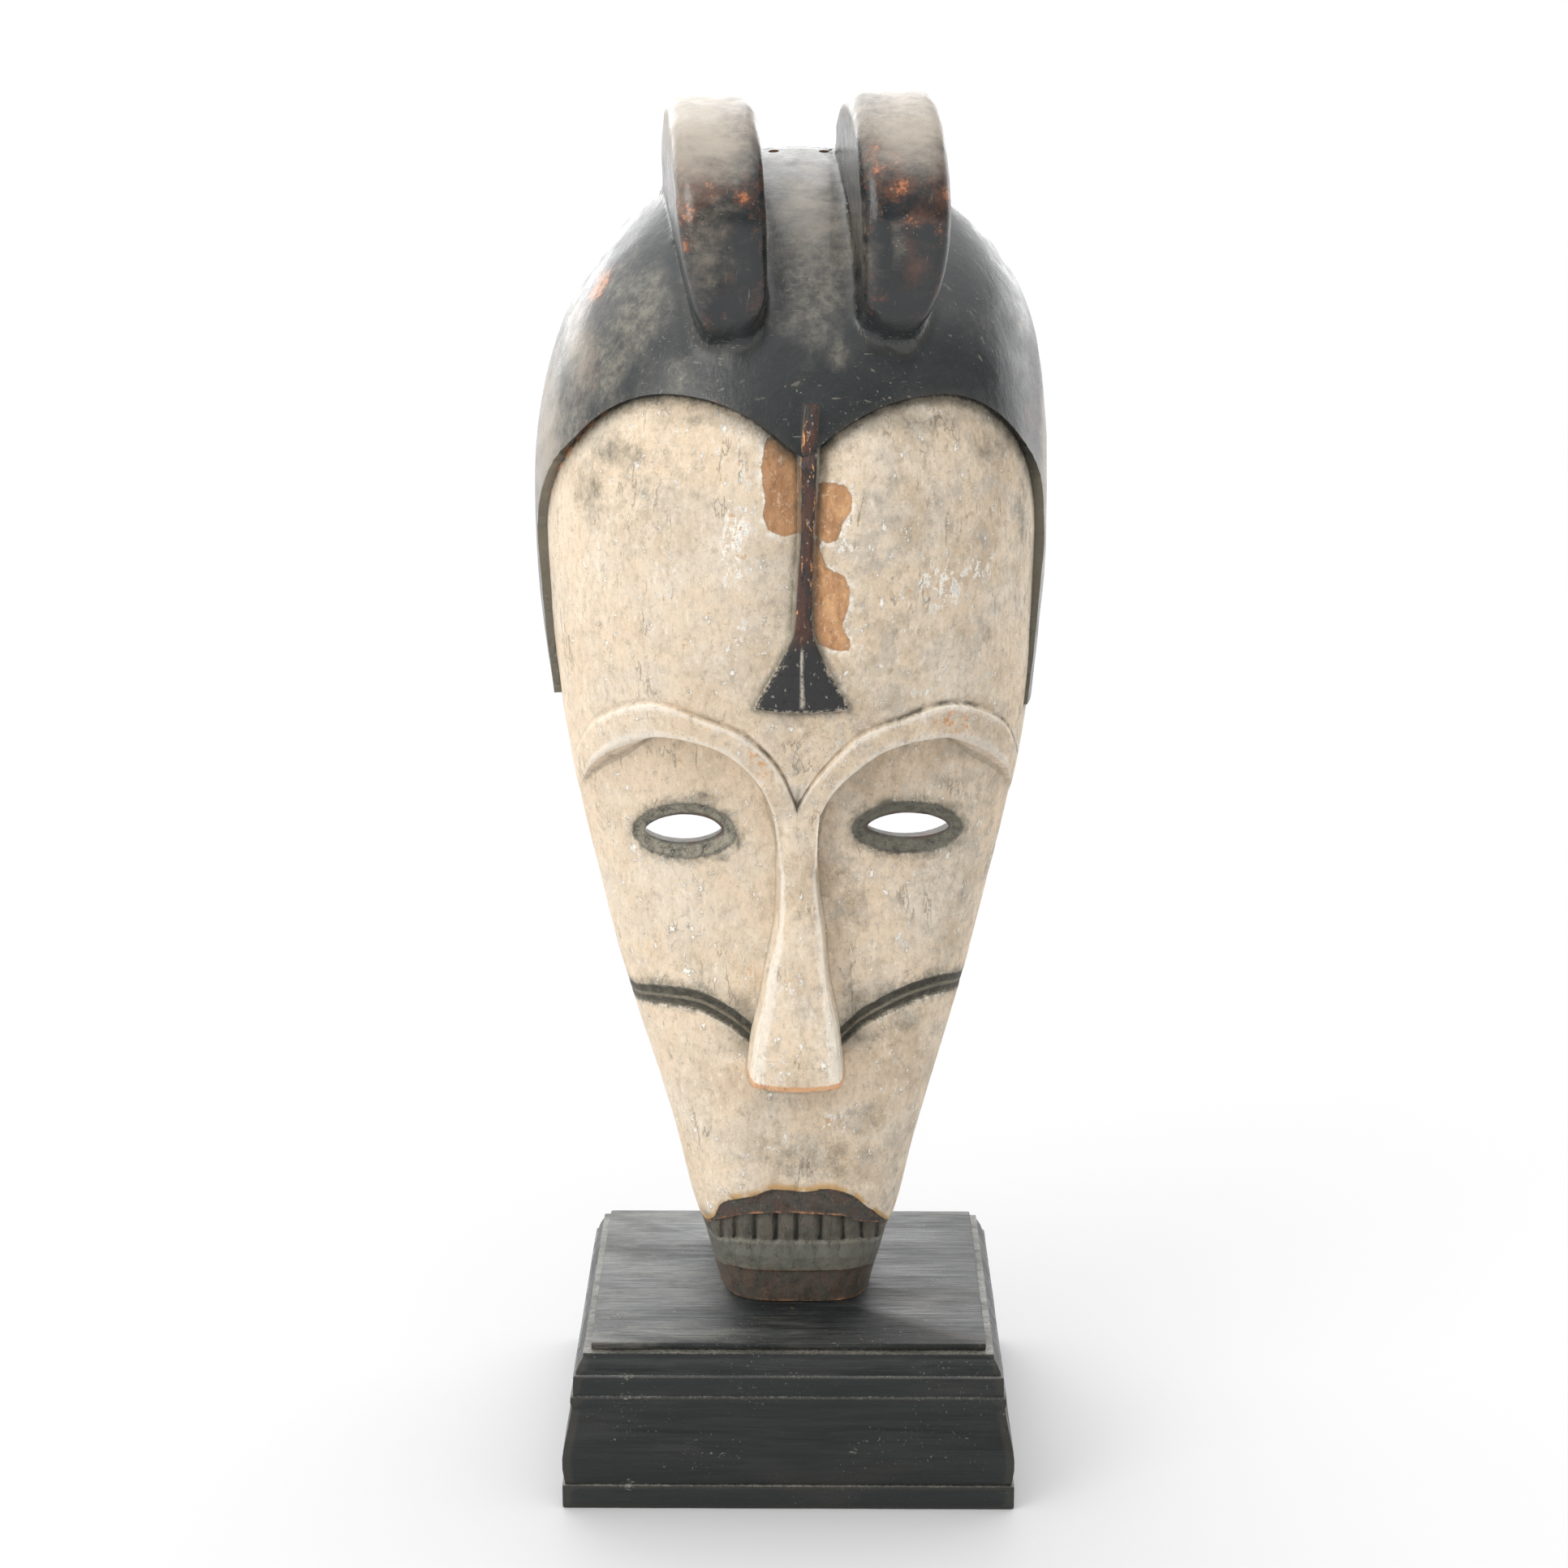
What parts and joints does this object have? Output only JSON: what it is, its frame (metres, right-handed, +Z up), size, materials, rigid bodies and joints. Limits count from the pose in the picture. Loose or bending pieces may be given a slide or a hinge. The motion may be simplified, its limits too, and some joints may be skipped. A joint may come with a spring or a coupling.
{
  "type": "carved wooden mask on a plinth",
  "caption": "Long-faced carved wooden mask with a domed cap, paired crests, lobed forehead, long nose and pierced eyes, hollow at the back, standing on a moulded plinth.",
  "frame": {"origin": "middle of the plinth's underside", "axes": "+Z up through the mask, the face looks along -Y, +X to the right as seen from the front"},
  "size_m": [0.2936, 0.2222, 0.7874],
  "materials": {
    "whitened_wood": "matt pale kaolin over wood, with a dark stained cap, crests and mouth",
    "black_stained_wood": "black stained and waxed wood, worn and dusty"
  },
  "bodies": {
    "root": {"mask": "whitened_wood", "plinth_top_board": "black_stained_wood", "plinth_moulding": "black_stained_wood", "plinth_base_board": "black_stained_wood"}
  },
  "joints": []
}
